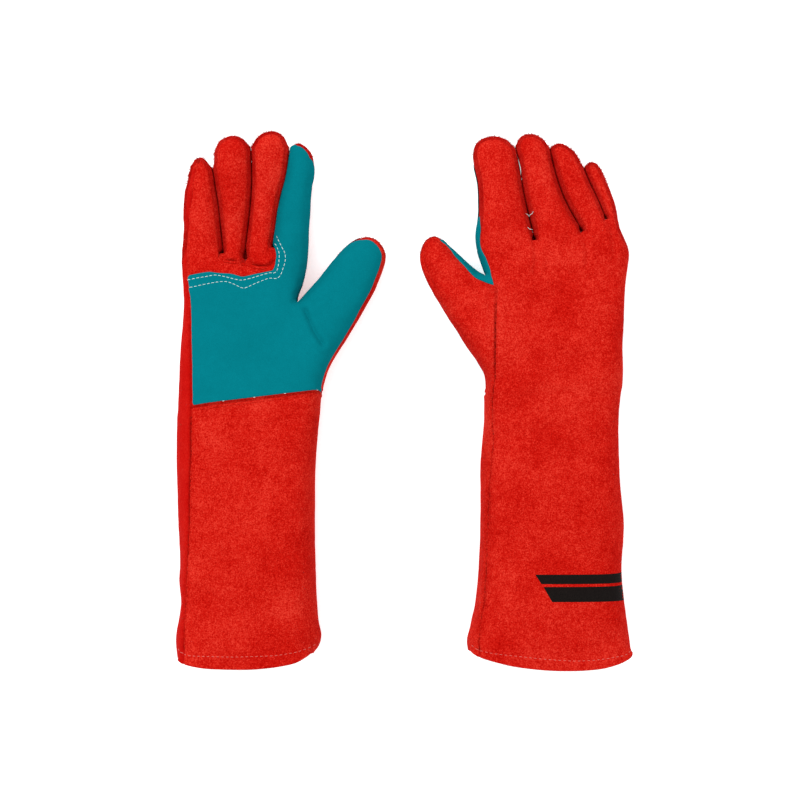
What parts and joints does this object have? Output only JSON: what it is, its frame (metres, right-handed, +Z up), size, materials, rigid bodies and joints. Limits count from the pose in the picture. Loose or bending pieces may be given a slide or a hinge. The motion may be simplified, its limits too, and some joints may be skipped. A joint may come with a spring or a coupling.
{
  "type": "welding gloves",
  "caption": "Pair of long gauntlet welding gloves in red split leather with teal reinforcing patches and fleece lining, one lying palm up, one palm down.",
  "frame": {"origin": "on the surface the gloves lie on, midway between them, at half their length", "axes": "+Z up from the surface, +Y towards the fingertips, +X from the palm-up glove to the palm-down glove"},
  "size_m": [0.343, 0.4064, 0.0699],
  "materials": {
    "split_leather": "matt suede",
    "gusset_leather": "matt suede",
    "reinforcing_leather": "matt suede",
    "cotton_fleece": "matt"
  },
  "bodies": {
    "glove1_cuff": {"glove1_cuff_front": "split_leather", "glove1_cuff_back": "split_leather", "glove1_cuff_lining": "cotton_fleece", "glove1_wrist_fold": "gusset_leather"},
    "glove1_hand": {"glove1_palm_panel": "split_leather", "glove1_palm_patch": "reinforcing_leather", "glove1_hand_back": "split_leather", "glove1_hand_lining": "cotton_fleece", "glove1_base_folds": "gusset_leather"},
    "glove1_index": {"glove1_index_front": "split_leather", "glove1_index_back": "split_leather", "glove1_index_fourchette": "gusset_leather", "glove1_index_lining": "cotton_fleece", "glove1_index_patch": "reinforcing_leather"},
    "glove1_middle": {"glove1_middle_front": "split_leather", "glove1_middle_back": "split_leather", "glove1_middle_fourchette": "gusset_leather", "glove1_middle_lining": "cotton_fleece"},
    "glove1_ring": {"glove1_ring_front": "split_leather", "glove1_ring_back": "split_leather", "glove1_ring_fourchette": "gusset_leather", "glove1_ring_lining": "cotton_fleece"},
    "glove1_little": {"glove1_little_front": "split_leather", "glove1_little_back": "split_leather", "glove1_little_fourchette": "gusset_leather", "glove1_little_lining": "cotton_fleece"},
    "glove1_thumb": {"glove1_thumb_front": "split_leather", "glove1_thumb_back": "split_leather", "glove1_thumb_patch": "reinforcing_leather", "glove1_thumb_lining": "cotton_fleece"},
    "glove2_cuff": {"glove2_cuff_front": "split_leather", "glove2_cuff_back": "split_leather", "glove2_cuff_lining": "cotton_fleece", "glove2_wrist_fold": "gusset_leather"},
    "glove2_hand": {"glove2_palm_panel": "split_leather", "glove2_palm_patch": "reinforcing_leather", "glove2_hand_back": "split_leather", "glove2_hand_lining": "cotton_fleece", "glove2_base_folds": "gusset_leather"},
    "glove2_index": {"glove2_index_front": "split_leather", "glove2_index_back": "split_leather", "glove2_index_fourchette": "gusset_leather", "glove2_index_lining": "cotton_fleece", "glove2_index_patch": "reinforcing_leather"},
    "glove2_middle": {"glove2_middle_front": "split_leather", "glove2_middle_back": "split_leather", "glove2_middle_fourchette": "gusset_leather", "glove2_middle_lining": "cotton_fleece"},
    "glove2_ring": {"glove2_ring_front": "split_leather", "glove2_ring_back": "split_leather", "glove2_ring_fourchette": "gusset_leather", "glove2_ring_lining": "cotton_fleece"},
    "glove2_little": {"glove2_little_front": "split_leather", "glove2_little_back": "split_leather", "glove2_little_fourchette": "gusset_leather", "glove2_little_lining": "cotton_fleece"},
    "glove2_thumb": {"glove2_thumb_front": "split_leather", "glove2_thumb_back": "split_leather", "glove2_thumb_patch": "reinforcing_leather", "glove2_thumb_lining": "cotton_fleece"}
  },
  "joints": [
    {"name": "glove1_wrist", "type": "hinge", "parent": "glove1_cuff", "child": "glove1_hand", "pos_m": [-0.1155, 0, 0.0275], "axis": [1, 0, 0], "range_deg": [-25, 25], "deforming": ["glove1_wrist_fold"]},
    {"name": "glove1_index_knuckle", "type": "hinge", "parent": "glove1_hand", "child": "glove1_index", "pos_m": [-0.08319, 0.112, 0.01823], "axis": [1, 0, 0], "range_deg": [-8, 65]},
    {"name": "glove1_middle_knuckle", "type": "hinge", "parent": "glove1_hand", "child": "glove1_middle", "pos_m": [-0.10621, 0.112, 0.0188], "axis": [1, 0, 0], "range_deg": [-8, 65]},
    {"name": "glove1_ring_knuckle", "type": "hinge", "parent": "glove1_hand", "child": "glove1_ring", "pos_m": [-0.12678, 0.112, 0.01855], "axis": [1, 0, 0], "range_deg": [-8, 65]},
    {"name": "glove1_little_knuckle", "type": "hinge", "parent": "glove1_hand", "child": "glove1_little", "pos_m": [-0.15253, 0.112, 0.01801], "axis": [1, 0, 0], "range_deg": [-8, 65]},
    {"name": "glove1_thumb_base", "type": "hinge", "parent": "glove1_hand", "child": "glove1_thumb", "pos_m": [-0.05889, 0.06346, 0.023], "axis": [0.887, -0.4618, 0], "range_deg": [-8, 50], "deforming": ["glove1_base_folds"]},
    {"name": "glove2_wrist", "type": "hinge", "parent": "glove2_cuff", "child": "glove2_hand", "pos_m": [0.1155, 0, 0.029], "axis": [-1, 0, 0], "range_deg": [-25, 25], "deforming": ["glove2_wrist_fold"]},
    {"name": "glove2_index_knuckle", "type": "hinge", "parent": "glove2_hand", "child": "glove2_index", "pos_m": [0.07806, 0.125, 0.0256], "axis": [-0.9917, -0.1289, 0], "range_deg": [-8, 65]},
    {"name": "glove2_middle_knuckle", "type": "hinge", "parent": "glove2_hand", "child": "glove2_middle", "pos_m": [0.11231, 0.125, 0.02623], "axis": [-0.9859, -0.1676, 0], "range_deg": [-8, 65]},
    {"name": "glove2_ring_knuckle", "type": "hinge", "parent": "glove2_hand", "child": "glove2_ring", "pos_m": [0.13749, 0.125, 0.0254], "axis": [-0.9874, -0.158, 0], "range_deg": [-8, 65]},
    {"name": "glove2_little_knuckle", "type": "hinge", "parent": "glove2_hand", "child": "glove2_little", "pos_m": [0.15935, 0.125, 0.02363], "axis": [-0.9874, -0.158, 0], "range_deg": [-8, 65]},
    {"name": "glove2_thumb_base", "type": "hinge", "parent": "glove2_hand", "child": "glove2_thumb", "pos_m": [0.04928, 0.07588, 0.024], "axis": [-0.8746, -0.4848, 0], "range_deg": [-8, 50], "deforming": ["glove2_base_folds"]},
    {"name": "pair_apart", "type": "slide", "parent": "glove1_cuff", "child": "glove2_cuff", "axis": [1, 0, 0], "range_m": [0, 0.36]}
  ]
}
